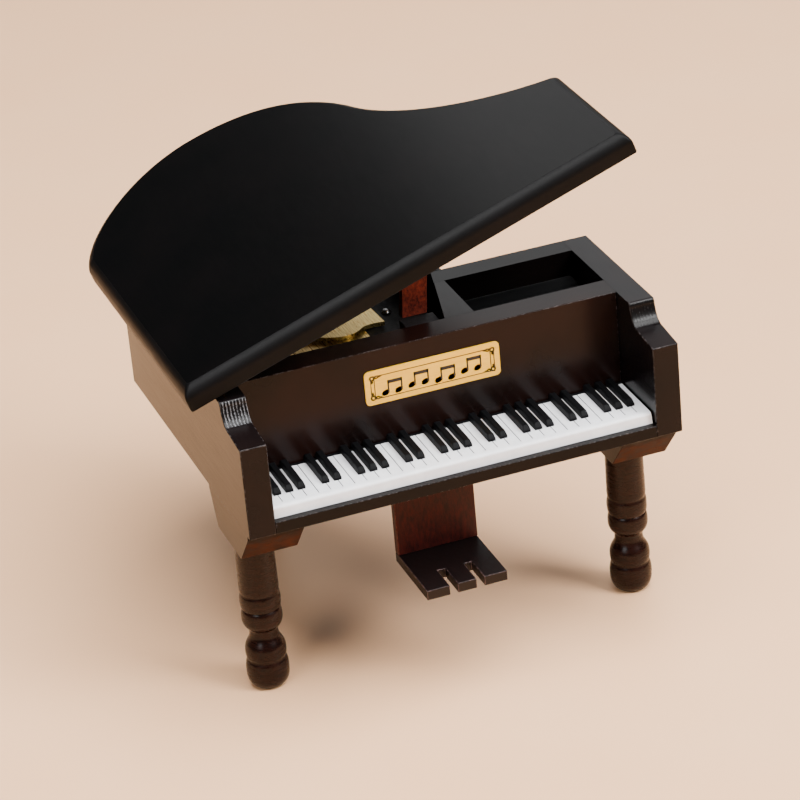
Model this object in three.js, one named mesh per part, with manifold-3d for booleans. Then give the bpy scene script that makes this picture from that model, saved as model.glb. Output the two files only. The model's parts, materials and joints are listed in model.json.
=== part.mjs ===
// A miniature wooden grand piano with a music movement, a ring tray and a propped lid.
// Millimetres, +Z up, -Y is the keyboard side, +X the treble side.
// Inside this file the floor is z = 0, the keyboard side of the arms is y = 0 and the
// middle of the case is x = 0. The last lines move the origin to the middle of the
// outline on the floor.
import * as THREE from "three";
import { mergeVertices } from "three/addons/utils/BufferGeometryUtils.js";
import Module from "manifold-3d";

const manifold = await Module();
manifold.setup();

// ---------- driving dimensions ----------
const GAP = 0.1; // between pieces that are glued or screwed face to face
const CASE_WIDTH = 150;
const CASE_BOTTOM = 71.2; // height of the case's underside above the floor
const CASE_TOP = 112.4;
const BOARD = 9; // thickness of the side boards and the board behind the tray
const BOTTOM_BOARD = 4.2;
const LEFT_LENGTH = 127; // straight bass side
const RIGHT_LENGTH = 74; // straight treble side
const RIM_THICKNESS = 6; // bent tail rim
const ARM_FRONT_TOP = 103.4; // top of the arms at the keyboard
const FALLBOARD_FRONT = 28;
const FALLBOARD_BACK = 38.2;

const KEYBED_TOP = CASE_BOTTOM + BOTTOM_BOARD;
const WHITE_KEYS = 32;
const WHITE_TOP = 79.3;
const KEYBOARD_HALF = 65.5;
const KEYBOARD_FRONT = 2.3;
const BLACK_KEY = { length: 18, width: 2.6, topWidth: 1.9, height: 2.2, shoulder: 0.8 };

const TRAY = { left: 19.7, right: 65.9, front: 38.3, back: 65.2, floor: 97.5 };
/** Bass side of the solid part beside the tray, which slants towards the rim. */
const partitionLeft = (y) => 9.4 + 0.245 * (y - TRAY.front);

const DECK_TOP = 98;
const DECK_THICKNESS = 1.6;
const SOUNDBOARD = 0.6;
const GOLD_PLATE = 1.5;

const LID = { left: -83.8, right: 81.4, front: 18.5, thickness: 8.2, open: 18.9 };
const LID_EDGE = { width: 3.4, drop: 4.2 };

const LEAF = 0.4; // hinge leaf thickness
const KNUCKLE = 1.0; // hinge knuckle radius
const PIN = 0.45; // hinge pin radius
const LEAF_PLANE = 1.1; // from the hinge axis to the wood that a leaf is fixed to
const HINGE_X = -CASE_WIDTH / 2 - LEAF_PLANE;
const HINGE_Z = CASE_TOP - 0.2;
const LID_HINGES = { front: 36, rear: 104, width: 16, reach: 7.5 };

const PROP = { left: -1.6, width: 8.8, front: 49, thickness: 3.2, foot: 110.4, lean: 5 };
const PROP_TOP = { width: 0.75, chamfer: 3.5 }; // share of the width left, and height of the cut corner
const PROP_HINGE = { width: 5.6, reach: 6 };

const LEG = { x: 65.8, y: 29.75, top: 57.1 };
const REAR_LEG = { x: -36, y: 130 };
const LEG_BLOCK = { halfWidth: 9.6, band: 1.9, topFront: -25.8, topBack: 14.5, front: -15.2, back: 8.6 };

const PEDAL = { left: -19.2, right: 8.9, front: -3.9, back: 25.4, top: 39, thickness: 3.5 };
const PEDAL_SLOTS = [-9.85, -0.55];
const PEDAL_SLOT = { width: 2.7, length: 11.3 };

const PLATE = { width: 47, height: 12.2, thickness: 0.6, z: 99.3, corner: 1.6 };

// Music movement: the spring barrel turns about Z, the cylinder and governor about X.
const BEDPLATE = { left: -63, right: -3, front: 62, back: 104, thickness: 1.6 };
const BARREL = { x: -48, y: 88, bottom: 78, radius: 12, bore: 2.2, height: 6.8 };
const CROWN = { teeth: 32, inner: 10.3, height: 1.5 };
const CYLINDER = { y: 88, z: 88.5, left: -34.6, right: -13.4, radius: 5.6, arbor: 0.9 };
const PINION = { teeth: 8, pitch: 2.79 };
const CYLINDER_GEAR = { teeth: 32, pitch: 5.6, left: -11.6, right: -10.2 };
const GOVERNOR = { teeth: 8, pitch: 1.4, angle: 0.38, shaft: 0.6, fan: 3.3 };
const NOTES = 18;
const COMB = { front: 64, root: 71, tip: 81.5, thickness: 1 };
const ARBOR = 1.9;
const KEY = { bottom: 58, top: 68.9, halfWidth: 8, thickness: 1.8 };

// ---------- materials ----------
const paint = (name, color, roughness, metalness = 0) =>
  new THREE.MeshStandardMaterial({ name, color, roughness, metalness });
const lacquer = paint("black_lacquer", 0x1a1515, 0.25);
const lidLacquer = paint("lid_lacquer", 0x0b0a0b, 0.18);
const legStain = paint("leg_stain", 0x24130f, 0.35);
const rawWood = paint("brown_wood", 0x5a3424, 0.6);
const pedalStain = paint("pedal_stain", 0x3a1712, 0.5);
const propStain = paint("prop_stain", 0x6e2a1c, 0.55);
const blackBoard = paint("black_board", 0x121112, 0.7);
const ivory = paint("white_plastic", 0xebe9ea, 0.35);
const ebony = paint("black_plastic", 0x17171a, 0.35);
const velvet = paint("black_velvet", 0x0a090b, 0.95);
const goldCard = paint("gold_sheet", 0xc9a955, 0.4, 0.8);
const plaqueGold = paint("plaque_gold", 0xe9c56e, 0.35, 0.7);
const brass = paint("brass", 0xb8934a, 0.3, 1);
const steel = paint("steel", 0xa9a9a8, 0.35, 1);
const zinc = paint("zinc_alloy", 0x9b9a92, 0.45, 1);

// ---------- geometry helpers ----------
const DEG = Math.PI / 180;

/** A box from its lowest to its highest corner. */
function box(x0, x1, y0, y1, z0, z1) {
  return new THREE.BoxGeometry(x1 - x0, y1 - y0, z1 - z0)
    .translate((x0 + x1) / 2, (y0 + y1) / 2, (z0 + z1) / 2);
}

/** A shape from a list of corners. */
const polygon = (corners) => new THREE.Shape(corners.map(([a, b]) => new THREE.Vector2(a, b)));

const extrude = (shape, depth, curveSegments = 12) =>
  new THREE.ExtrudeGeometry(shape, { depth, curveSegments, bevelEnabled: false });

/** A prism along Z of a shape drawn in (x, y). */
const prismZ = (shape, z0, z1, curveSegments) =>
  extrude(shape, z1 - z0, curveSegments).translate(0, 0, z0);

/** A prism along X of a shape drawn in (y, z). */
function prismX(shape, x0, x1, curveSegments) {
  const turn = new THREE.Matrix4().makeBasis(
    new THREE.Vector3(0, 1, 0), new THREE.Vector3(0, 0, 1), new THREE.Vector3(1, 0, 0));
  return extrude(shape, x1 - x0, curveSegments).applyMatrix4(turn).translate(x0, 0, 0);
}

/** A prism along Y of a shape drawn in (x, z). */
function prismY(shape, y0, y1, curveSegments) {
  const turn = new THREE.Matrix4().makeBasis(
    new THREE.Vector3(1, 0, 0), new THREE.Vector3(0, 0, 1), new THREE.Vector3(0, -1, 0));
  return extrude(shape, y1 - y0, curveSegments).applyMatrix4(turn).translate(0, y1, 0);
}

const rodZ = (r, z0, z1, segments = 16) =>
  new THREE.CylinderGeometry(r, r, z1 - z0, segments).rotateX(Math.PI / 2).translate(0, 0, (z0 + z1) / 2);
const rodX = (r, x0, x1, segments = 16) =>
  new THREE.CylinderGeometry(r, r, x1 - x0, segments).rotateZ(Math.PI / 2).translate((x0 + x1) / 2, 0, 0);
const rodY = (r, y0, y1, segments = 16) =>
  new THREE.CylinderGeometry(r, r, y1 - y0, segments).translate(0, (y0 + y1) / 2, 0);

/** A turned piece about Z from its [radius, z] profile, which starts and ends on the axis. */
const turned = (profile, segments) =>
  new THREE.LatheGeometry(profile.map(([r, z]) => new THREE.Vector2(r, z)), segments).rotateX(Math.PI / 2);

/** The closed solid of a geometry, for cutting and joining. */
function solid(geometry) {
  const bare = new THREE.BufferGeometry();
  bare.setAttribute("position", geometry.getAttribute("position").clone());
  if (geometry.index) bare.setIndex(geometry.index.clone());
  const merged = mergeVertices(bare, 1e-4);
  return new manifold.Manifold(new manifold.Mesh({
    numProp: 3,
    vertProperties: new Float32Array(merged.getAttribute("position").array),
    triVerts: new Uint32Array(merged.index.array),
  }));
}

/** A geometry with flat faces from a solid. */
function geometryOf(made) {
  const { vertProperties, triVerts } = made.getMesh();
  const geometry = new THREE.BufferGeometry();
  geometry.setAttribute("position", new THREE.BufferAttribute(vertProperties, 3));
  geometry.setIndex(new THREE.BufferAttribute(triVerts, 1));
  const flat = geometry.toNonIndexed();
  flat.computeVertexNormals();
  return flat;
}

const join = (...parts) => geometryOf(parts.map(solid).reduce((a, b) => a.add(b)));
const cut = (body, ...tools) => geometryOf(tools.map(solid).reduce((a, b) => a.subtract(b), solid(body)));
const common = (a, b) => geometryOf(solid(a).intersect(solid(b)));

/** Adds one named piece to a group. */
function piece(group, name, geometry, material) {
  const mesh = new THREE.Mesh(geometry, material);
  mesh.name = name;
  group.add(mesh);
  return mesh;
}

/** Points of an outline moved sideways by a distance, to the left of its direction. */
function offset(points, distance) {
  return points.map((p, i) => {
    const before = points[Math.max(i - 1, 0)];
    const after = points[Math.min(i + 1, points.length - 1)];
    const along = after.clone().sub(before).normalize();
    return new THREE.Vector2(p.x - along.y * distance, p.y + along.x * distance);
  });
}

const piano = new THREE.Group();
const half = CASE_WIDTH / 2;
const inside = half - BOARD - GAP; // half the width between the side boards

// ---------- case ----------
/** A side board: a plain board whose front steps down to the arm beside the keys. */
function sideShape(length) {
  const shape = new THREE.Shape();
  shape.moveTo(0, CASE_BOTTOM);
  shape.lineTo(length, CASE_BOTTOM);
  shape.lineTo(length, CASE_TOP);
  shape.lineTo(18.6, CASE_TOP);
  shape.quadraticCurveTo(17.6, CASE_TOP - 0.3, 17.3, CASE_TOP - 2);
  shape.bezierCurveTo(16.4, 107.4, 15.2, 105.3, 12.4, 104.9);
  shape.lineTo(0, ARM_FRONT_TOP);
  return shape;
}
piece(piano, "left_side", prismX(sideShape(LEFT_LENGTH), -half, -half + BOARD, 6), lacquer);
piece(piano, "right_side", prismX(sideShape(RIGHT_LENGTH), half - BOARD, half, 6), lacquer);
const rearShape = polygon([[partitionLeft(TRAY.back), TRAY.back], [inside, TRAY.back],
  [inside, RIGHT_LENGTH], [partitionLeft(RIGHT_LENGTH), RIGHT_LENGTH]]);
piece(piano, "rear_board", prismZ(rearShape, KEYBED_TOP + GAP, CASE_TOP), lacquer);

/** The tail's outer curve, from the board behind the tray round to the bass side. */
const tail = new THREE.CurvePath();
tail.add(new THREE.CubicBezierCurve(
  new THREE.Vector2(22, RIGHT_LENGTH + GAP), new THREE.Vector2(19, 95),
  new THREE.Vector2(20, 112), new THREE.Vector2(14.5, 130)));
tail.add(new THREE.CubicBezierCurve(
  new THREE.Vector2(14.5, 130), new THREE.Vector2(8, 150),
  new THREE.Vector2(-6, 165), new THREE.Vector2(-28, 165)));
tail.add(new THREE.CubicBezierCurve(
  new THREE.Vector2(-28, 165), new THREE.Vector2(-50, 165),
  new THREE.Vector2(-71, 142), new THREE.Vector2(-half, LEFT_LENGTH + GAP)));
const tailOuter = tail.getPoints(9);
const tailInner = offset(tailOuter, RIM_THICKNESS);
const rimShape = new THREE.Shape([...tailOuter, ...tailInner.slice().reverse()]);
piece(piano, "tail_rim", cut(
  prismZ(rimShape, CASE_BOTTOM, CASE_TOP),
  box(-half - 1, -half + BOARD + 1, 0, LEFT_LENGTH + GAP, 0, 2 * CASE_TOP),
  box(0, half, 0, RIGHT_LENGTH + GAP, 0, 2 * CASE_TOP)), lacquer);

/** A flat board that fills the inside of the rim behind a given line. */
function insideBoard(front, right, margin, z0, z1) {
  const curve = offset(tailOuter, RIM_THICKNESS + margin);
  const region = new THREE.Shape([
    new THREE.Vector2(curve[0].x, 0), ...curve, new THREE.Vector2(curve.at(-1).x, 0)]);
  return common(prismZ(region, z0, z1), box(-inside, right, front, 2 * CASE_WIDTH, z0 - 1, z1 + 1));
}
const MOVEMENT_SCREWS = [[-58, 66], [-8, 66], [-30, 101]];
const at = (geometry, x, y) => geometry.translate(x, y, 0);
piece(piano, "bottom_board", cut(
  join(insideBoard(0, inside, GAP, CASE_BOTTOM, KEYBED_TOP),
    box(0, inside, 0, RIGHT_LENGTH, CASE_BOTTOM, KEYBED_TOP)),
  at(rodZ(3, CASE_BOTTOM - 1, KEYBED_TOP + 1), BARREL.x, BARREL.y),
  ...MOVEMENT_SCREWS.map(([x, y]) => at(rodZ(1.1, CASE_BOTTOM - 1, KEYBED_TOP + 1, 8), x, y))), lacquer);

piece(piano, "fallboard",
  box(-inside, inside, FALLBOARD_FRONT, FALLBOARD_BACK, KEYBED_TOP + GAP, CASE_TOP), lacquer);

// ---------- nameplate ----------
function roundedPlate(width, height, corner) {
  const shape = new THREE.Shape();
  const [x, z] = [width / 2, height / 2];
  shape.moveTo(-x + corner, -z);
  shape.lineTo(x - corner, -z);
  shape.absarc(x - corner, -z + corner, corner, -Math.PI / 2, 0);
  shape.absarc(x - corner, z - corner, corner, 0, Math.PI / 2);
  shape.absarc(-x + corner, z - corner, corner, Math.PI / 2, Math.PI);
  shape.absarc(-x + corner, -z + corner, corner, Math.PI, Math.PI * 1.5);
  return shape;
}
const plateBack = FALLBOARD_FRONT - GAP / 2;
piece(piano, "nameplate",
  prismY(roundedPlate(PLATE.width, PLATE.height, PLATE.corner),
    plateBack - PLATE.thickness, plateBack, 4).translate(0, 0, PLATE.z), plaqueGold);

// ---------- keyboard: one moulded white strip with one moulded set of black keys ----------
const keyBottom = KEYBED_TOP + GAP;
const keyBack = FALLBOARD_FRONT - GAP;
const RAIL = { front: 26.4, height: 1.2 }; // joins the black keys under the fallboard
const whiteShape = new THREE.Shape();
whiteShape.moveTo(KEYBOARD_FRONT, keyBottom);
whiteShape.lineTo(keyBack, keyBottom);
whiteShape.lineTo(keyBack, WHITE_TOP - RAIL.height);
whiteShape.lineTo(RAIL.front, WHITE_TOP - RAIL.height);
whiteShape.lineTo(RAIL.front, WHITE_TOP);
whiteShape.lineTo(4.4, WHITE_TOP);
whiteShape.quadraticCurveTo(3.1, WHITE_TOP - 0.1, 2.9, WHITE_TOP - 1.2);
piece(piano, "white_keys", prismX(whiteShape, -KEYBOARD_HALF, KEYBOARD_HALF, 4), ivory);

/** Black keys stand on the lines between white keys, in threes and twos. */
const whitePitch = (2 * KEYBOARD_HALF) / WHITE_KEYS;
const octave = [1, 2, 3, 5, 6]; // key lines with a black key, counted from the F below them
const WHITES_PER_OCTAVE = 7;
const blackLines = [];
for (let line = 1; line < WHITE_KEYS; line++)
  if (octave.includes(line % WHITES_PER_OCTAVE)) blackLines.push(line);
function blackKey(x) {
  const [w, t, h] = [BLACK_KEY.width / 2, BLACK_KEY.topWidth / 2, BLACK_KEY.height];
  const foot = WHITE_TOP + GAP / 2;
  const back = keyBack - BLACK_KEY.length;
  const shoulder = foot + BLACK_KEY.shoulder;
  const profile = polygon([[x - w, foot], [x + w, foot], [x + w, shoulder], [x + t, foot + h],
    [x - t, foot + h], [x - w, shoulder]]);
  const front = polygon([[back - 1, foot + 0.9], [back + 1.2, foot + h + 1], [back - 1, foot + h + 1]]);
  return solid(prismY(profile, back, keyBack)).subtract(solid(prismX(front, x - 2 * w, x + 2 * w)));
}
const blackRail = solid(box(-KEYBOARD_HALF, KEYBOARD_HALF, RAIL.front + GAP, keyBack,
  WHITE_TOP - RAIL.height + GAP, WHITE_TOP + 2 * GAP));
piece(piano, "black_keys",
  geometryOf(blackLines.map((line) => blackKey(-KEYBOARD_HALF + line * whitePitch))
    .reduce((a, b) => a.add(b), blackRail)), ebony);

// ---------- ring tray ----------
const partitionShape = polygon([
  [partitionLeft(FALLBOARD_BACK), FALLBOARD_BACK + GAP], [TRAY.left, FALLBOARD_BACK + GAP],
  [TRAY.left, TRAY.back - GAP], [partitionLeft(TRAY.back), TRAY.back - GAP]]);
piece(piano, "tray_partition", prismZ(partitionShape, KEYBED_TOP + GAP, CASE_TOP), lacquer);
piece(piano, "tray_floor", box(TRAY.left + GAP, TRAY.right - GAP, TRAY.front + GAP, TRAY.back - GAP,
  TRAY.floor - 2.5, TRAY.floor), blackBoard);
piece(piano, "ring_cushion", box(TRAY.left + 0.4, TRAY.right - 0.4, TRAY.front + 0.4, TRAY.back - 0.4,
  TRAY.floor + 0.2, 105.5), velvet);

// ---------- inside the bass compartment ----------
const deckFront = FALLBOARD_BACK + GAP;
const solidPart = polygon([[partitionLeft(0) - GAP, 0], [half, 0], [half, RIGHT_LENGTH + GAP],
  [partitionLeft(RIGHT_LENGTH) - GAP, RIGHT_LENGTH + GAP]]);
piece(piano, "deck_board", cut(
  insideBoard(deckFront, TRAY.left, GAP, DECK_TOP - DECK_THICKNESS, DECK_TOP),
  prismZ(solidPart, 0, CASE_TOP)), blackBoard);
piece(piano, "soundboard",
  insideBoard(deckFront + 1, -8, 0.6, DECK_TOP + GAP / 2, DECK_TOP + SOUNDBOARD), goldCard);

/** The gold plate, a harp shape with a waved front edge. */
const harp = new THREE.Shape();
harp.moveTo(-0.8, 70.2);
harp.lineTo(-1.4, 84);
harp.bezierCurveTo(-3, 112, -12, 146, -30, 146);
harp.bezierCurveTo(-46, 146, -60, 132, -60, 112);
harp.lineTo(-60, 80);
harp.bezierCurveTo(-54, 70, -46, 78, -38, 76);
harp.bezierCurveTo(-30, 74, -25, 69.8, -20, 67.4);
harp.bezierCurveTo(-15, 65.2, -11.5, 67, -9, 69.6);
harp.quadraticCurveTo(-7, 71.4, -0.8, 70.2);
const goldBottom = DECK_TOP + SOUNDBOARD + GAP;
piece(piano, "gold_plate", prismZ(harp, goldBottom, goldBottom + GOLD_PLATE, 5), goldCard);
piece(piano, "deck_screw", at(turned([[0, DECK_TOP + 1.5], [1.1, DECK_TOP + 1.2], [1.6, DECK_TOP + 0.5],
  [1.6, DECK_TOP + GAP], [0, DECK_TOP + GAP]].reverse(), 12), 3.4, 80.5), steel);
piece(piano, "prop_rest",
  box(PROP.left - 1, partitionLeft(FALLBOARD_BACK) - GAP, FALLBOARD_BACK + GAP, PROP.front + 0.4,
    DECK_TOP + GAP, PROP.foot - 0.35), blackBoard);

// ---------- legs and pedals ----------
/** Turned leg, [radius, height] from the rounded foot up. */
const legProfile = [
  [0, 0], [4.2, 0], [6.4, 1.2], [7.2, 4.8], [7.2, 8.2], [6.4, 10.6], [6.9, 12.6], [6.8, 14.8],
  [4.9, 18.6], [4.9, 21.0], [6.4, 23.2], [6.9, 25.8], [6.2, 29.4], [6.9, 31.2], [6.9, 33.6],
  [6.2, 35.5], [6.6, 37.2], [6.6, LEG.top - GAP], [0, LEG.top - GAP]];

/** The tapered block that a leg is glued into, seen from the side. */
function blockShape(y) {
  const top = CASE_BOTTOM - GAP;
  const { topFront, topBack, front, back, band } = LEG_BLOCK;
  return polygon([[y + topFront, top], [y + topFront, top - band], [y + front, LEG.top],
    [y + back, LEG.top], [y + topBack, top - band], [y + topBack, top]].reverse());
}
const legs = {
  front_leg_left: [-LEG.x, LEG.y],
  front_leg_right: [LEG.x, LEG.y],
  rear_leg: [REAR_LEG.x, REAR_LEG.y],
};
for (const [name, [x, y]] of Object.entries(legs)) {
  piece(piano, name, turned(legProfile, 16), legStain).position.set(x, y, 0);
  const middle = Math.sign(x) * Math.min(Math.abs(x), half - LEG_BLOCK.halfWidth - 0.4);
  piece(piano, name.replace("leg", "leg_block"),
    prismX(blockShape(y), middle - LEG_BLOCK.halfWidth, middle + LEG_BLOCK.halfWidth), rawWood);
}
piece(piano, "pedal_post", box(PEDAL.left, PEDAL.right, PEDAL.back - 3.3, PEDAL.back,
  PEDAL.top + GAP, CASE_BOTTOM - GAP), pedalStain);
piece(piano, "pedal_board", cut(
  box(PEDAL.left, PEDAL.right, PEDAL.front, PEDAL.back, PEDAL.top - PEDAL.thickness, PEDAL.top),
  ...PEDAL_SLOTS.map((x) => box(x - PEDAL_SLOT.width / 2, x + PEDAL_SLOT.width / 2,
    PEDAL.front - 1, PEDAL.front + PEDAL_SLOT.length, 0, CASE_BOTTOM))), pedalStain);

// ---------- music movement ----------
const bedTop = KEYBED_TOP + GAP + BEDPLATE.thickness;
const onAxis = (geometry, { y, z }) => geometry.translate(0, y, z);
piece(piano, "movement_bedplate", cut(
  box(BEDPLATE.left, BEDPLATE.right, BEDPLATE.front, BEDPLATE.back, KEYBED_TOP + GAP, bedTop),
  at(rodZ(2.6, 0, CASE_TOP), BARREL.x, BARREL.y),
  ...MOVEMENT_SCREWS.map(([x, y]) => at(rodZ(1.1, 0, CASE_TOP, 8), x, y))), zinc);
MOVEMENT_SCREWS.forEach(([x, y], i) => {
  const under = CASE_BOTTOM - GAP;
  piece(piano, `movement_screw_${i + 1}`, at(turned([[0, under - 1.2], [1.4, under - 1], [2, under - 0.3],
    [2, under], [0.9, under], [0.9, bedTop], [0, bedTop]], 8), x, y), steel);
});

/** Outline of a toothed wheel whose first tooth points along a given angle. */
function gearShape({ teeth, pitch }, first, bore) {
  const module_ = (2 * pitch) / teeth;
  const [root, tip] = [pitch - 1.2 * module_, pitch + 0.8 * module_];
  const step = (2 * Math.PI) / teeth;
  const corners = [[root, -0.3], [tip, -0.11], [tip, 0.11], [root, 0.3]];
  const points = [];
  for (let i = 0; i < teeth; i++)
    for (const [r, part] of corners) {
      const angle = first + (i + part) * step;
      points.push([r * Math.cos(angle), r * Math.sin(angle)]);
    }
  const shape = polygon(points);
  shape.holes.push(new THREE.Path().absarc(0, 0, bore, 0, 2 * Math.PI, true));
  return shape;
}

const barrelTop = BARREL.bottom + BARREL.height;
const crownTeeth = Array.from({ length: CROWN.teeth }, (_, i) =>
  box(CROWN.inner, BARREL.radius - 0.1, -0.42, 0.42, barrelTop - 1, barrelTop + CROWN.height)
    .rotateZ(((i + 0.5) * 2 * Math.PI) / CROWN.teeth));
const barrelShape = [[BARREL.bore, BARREL.bottom], [BARREL.radius, BARREL.bottom],
  [BARREL.radius, barrelTop], [BARREL.bore, barrelTop], [BARREL.bore, BARREL.bottom]];
piece(piano, "spring_barrel", join(turned(barrelShape, 32), ...crownTeeth), brass)
  .position.set(BARREL.x, BARREL.y, 0);

const BRIDGE = { left: -62.5, right: -40, top: 93.8, sheet: 1.2, halfWidth: 5 };
const bridgeShape = polygon([
  [BRIDGE.left, bedTop + GAP], [BRIDGE.left + BRIDGE.sheet, bedTop + GAP],
  [BRIDGE.left + BRIDGE.sheet, BRIDGE.top - BRIDGE.sheet],
  [BRIDGE.right - BRIDGE.sheet, BRIDGE.top - BRIDGE.sheet], [BRIDGE.right - BRIDGE.sheet, 86.8],
  [BRIDGE.right, 86.8], [BRIDGE.right, BRIDGE.top], [BRIDGE.left, BRIDGE.top]]);
piece(piano, "barrel_bridge", cut(
  prismY(bridgeShape, BARREL.y - BRIDGE.halfWidth, BARREL.y + BRIDGE.halfWidth),
  at(rodZ(2.2, barrelTop + 2, CASE_TOP), BARREL.x, BARREL.y),
  onAxis(rodX(1.1, BRIDGE.right - 3, BRIDGE.right + 3, 12), CYLINDER)), zinc);

/** The cylinder with its arbor and the pins that would pluck the comb. */
function pinnedCylinder() {
  const { radius, left, right, arbor } = CYLINDER;
  const drum = rodX(radius, left, right, 32);
  const shaft = rodX(arbor, BRIDGE.right - 0.9, -8.4, 12);
  const pins = [];
  const perNote = 3;
  const pitch = (right - left) / NOTES;
  for (let i = 0; i < NOTES * perNote; i++) {
    const x = left + (Math.floor(i / perNote) + 0.5) * pitch;
    pins.push(rodZ(0.22, radius - 0.6, radius + 0.5, 4).rotateX(i * 2.4).translate(x, 0, 0));
  }
  return join(drum, shaft, ...pins);
}
const atCylinder = [0, CYLINDER.y, CYLINDER.z];
piece(piano, "music_cylinder", pinnedCylinder(), brass).position.set(...atCylinder);
piece(piano, "cylinder_pinion",
  prismX(gearShape(PINION, -Math.PI / 2, CYLINDER.arbor + 2 * GAP), -37.9, -35.6, 6), steel)
  .position.set(...atCylinder);
piece(piano, "cylinder_gear",
  prismX(gearShape(CYLINDER_GEAR, GOVERNOR.angle, CYLINDER.arbor + 2 * GAP),
    CYLINDER_GEAR.left, CYLINDER_GEAR.right, 6), brass).position.set(...atCylinder);
piece(piano, "cylinder_bracket", cut(
  box(-9.4, -8.2, CYLINDER.y - 2, CYLINDER.y + 2, bedTop + GAP, CYLINDER.z + 2),
  onAxis(rodX(1.1, -12, -5, 12), CYLINDER)), zinc);

const centres = CYLINDER_GEAR.pitch + GOVERNOR.pitch;
const governorAxis = {
  y: CYLINDER.y + centres * Math.cos(GOVERNOR.angle),
  z: CYLINDER.z + centres * Math.sin(GOVERNOR.angle),
};
const governorFirst = Math.PI + GOVERNOR.angle + Math.PI / GOVERNOR.teeth;
piece(piano, "governor_fan", join(
  prismX(gearShape(GOVERNOR, governorFirst, 0.3), -11.7, -10.1, 3),
  rodX(GOVERNOR.shaft, -12.9, -4, 8),
  box(-9, -5.8, -GOVERNOR.fan, GOVERNOR.fan, -0.3, 0.3)), steel)
  .position.set(0, governorAxis.y, governorAxis.z);
const EAR = { left: -13.1, right: -3.6, sheet: 0.8, halfWidth: 1.2 };
const earShape = polygon([[EAR.left, bedTop + GAP], [EAR.right, bedTop + GAP],
  [EAR.right, governorAxis.z + 1.6], [EAR.right - EAR.sheet, governorAxis.z + 1.6],
  [EAR.right - EAR.sheet, bedTop + 1], [EAR.left + EAR.sheet, bedTop + 1],
  [EAR.left + EAR.sheet, governorAxis.z + 1.6], [EAR.left, governorAxis.z + 1.6]]);
piece(piano, "governor_bracket", cut(
  prismY(earShape, governorAxis.y - EAR.halfWidth, governorAxis.y + EAR.halfWidth),
  onAxis(rodX(GOVERNOR.shaft + 0.15, EAR.left - 1, EAR.right + 1, 8), governorAxis)), zinc);

const combBottom = CYLINDER.z - COMB.thickness / 2;
const combLeft = CYLINDER.left;
const combPitch = (CYLINDER.right - CYLINDER.left) / NOTES;
const combSlots = Array.from({ length: NOTES - 1 }, (_, i) => {
  const x = combLeft + (i + 1) * combPitch;
  return box(x - 0.12, x + 0.12, COMB.root + 1, COMB.tip + 1, combBottom - 1, combBottom + 3);
});
const combScrewAt = [combLeft + 5, CYLINDER.right - 5];
const screwHole = (x, z0, z1) => at(rodZ(1.1, z0, z1, 8), x, (COMB.front + COMB.root) / 2);
piece(piano, "comb_block", cut(
  box(combLeft, CYLINDER.right, COMB.front, COMB.root, bedTop + GAP, combBottom - GAP),
  ...combScrewAt.map((x) => screwHole(x, combBottom - 4, combBottom + 1))), zinc);
piece(piano, "comb", cut(
  box(combLeft, CYLINDER.right, COMB.front, COMB.tip, combBottom, combBottom + COMB.thickness),
  ...combSlots, ...combScrewAt.map((x) => screwHole(x, combBottom - 4, combBottom + 4))), steel);
combScrewAt.forEach((x, i) => {
  const top = combBottom + COMB.thickness + GAP;
  piece(piano, `comb_screw_${i + 1}`, at(turned([[0, combBottom - 3.5], [0.9, combBottom - 3.5],
    [0.9, top], [2, top], [2, top + 1], [0, top + 1]], 8), x, (COMB.front + COMB.root) / 2), steel);
});

piece(piano, "winding_arbor", at(rodZ(ARBOR, KEY.top + GAP, 92), BARREL.x, BARREL.y), steel);
const wing = new THREE.Shape();
wing.moveTo(-2, KEY.bottom + 1);
wing.bezierCurveTo(-4, KEY.bottom - 0.5, -KEY.halfWidth, KEY.bottom - 0.5, -KEY.halfWidth, KEY.bottom + 4);
wing.bezierCurveTo(-KEY.halfWidth, KEY.bottom + 8, -4, KEY.bottom + 8, -2, KEY.bottom + 7);
wing.lineTo(2, KEY.bottom + 7);
wing.bezierCurveTo(4, KEY.bottom + 8, KEY.halfWidth, KEY.bottom + 8, KEY.halfWidth, KEY.bottom + 4);
wing.bezierCurveTo(KEY.halfWidth, KEY.bottom - 0.5, 4, KEY.bottom - 0.5, 2, KEY.bottom + 1);
piece(piano, "winding_key", at(join(
  prismY(wing, -KEY.thickness / 2, KEY.thickness / 2, 5), rodZ(2.6, KEY.bottom + 5, KEY.top)),
  BARREL.x, BARREL.y), brass);

// ---------- lid, drawn closed about its hinge axis and then opened ----------
const lid = new THREE.Group();
lid.position.set(HINGE_X, 0, HINGE_Z);
lid.rotation.y = -LID.open * DEG;
piano.add(lid);

function lidOutline() {
  const { left, right, front } = LID;
  const shape = new THREE.Shape();
  shape.moveTo(left, front);
  shape.lineTo(right, front);
  shape.lineTo(right, 78);
  shape.bezierCurveTo(58.5, 86.7, 32.7, 108, 24.5, 132.5);
  shape.bezierCurveTo(16.8, 155.4, 0.6, 173.1, -27.6, 173.1);
  shape.bezierCurveTo(-55.3, 173.1, -80.4, 144.6, left, 128.3);
  return shape;
}
const rounded = new THREE.ExtrudeGeometry(lidOutline(), {
  depth: LID.thickness - LID_EDGE.drop, curveSegments: 9, bevelSegments: 2,
  bevelThickness: LID_EDGE.drop, bevelSize: LID_EDGE.width, bevelOffset: -LID_EDGE.width,
});
const underLid = box(-200, 200, -100, 300, -2 * LID_EDGE.drop, 0);
const lidPlank = cut(rounded, underLid).translate(-HINGE_X, 0, LEAF_PLANE);
piece(lid, "lid", lidPlank, lidLacquer);

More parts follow.
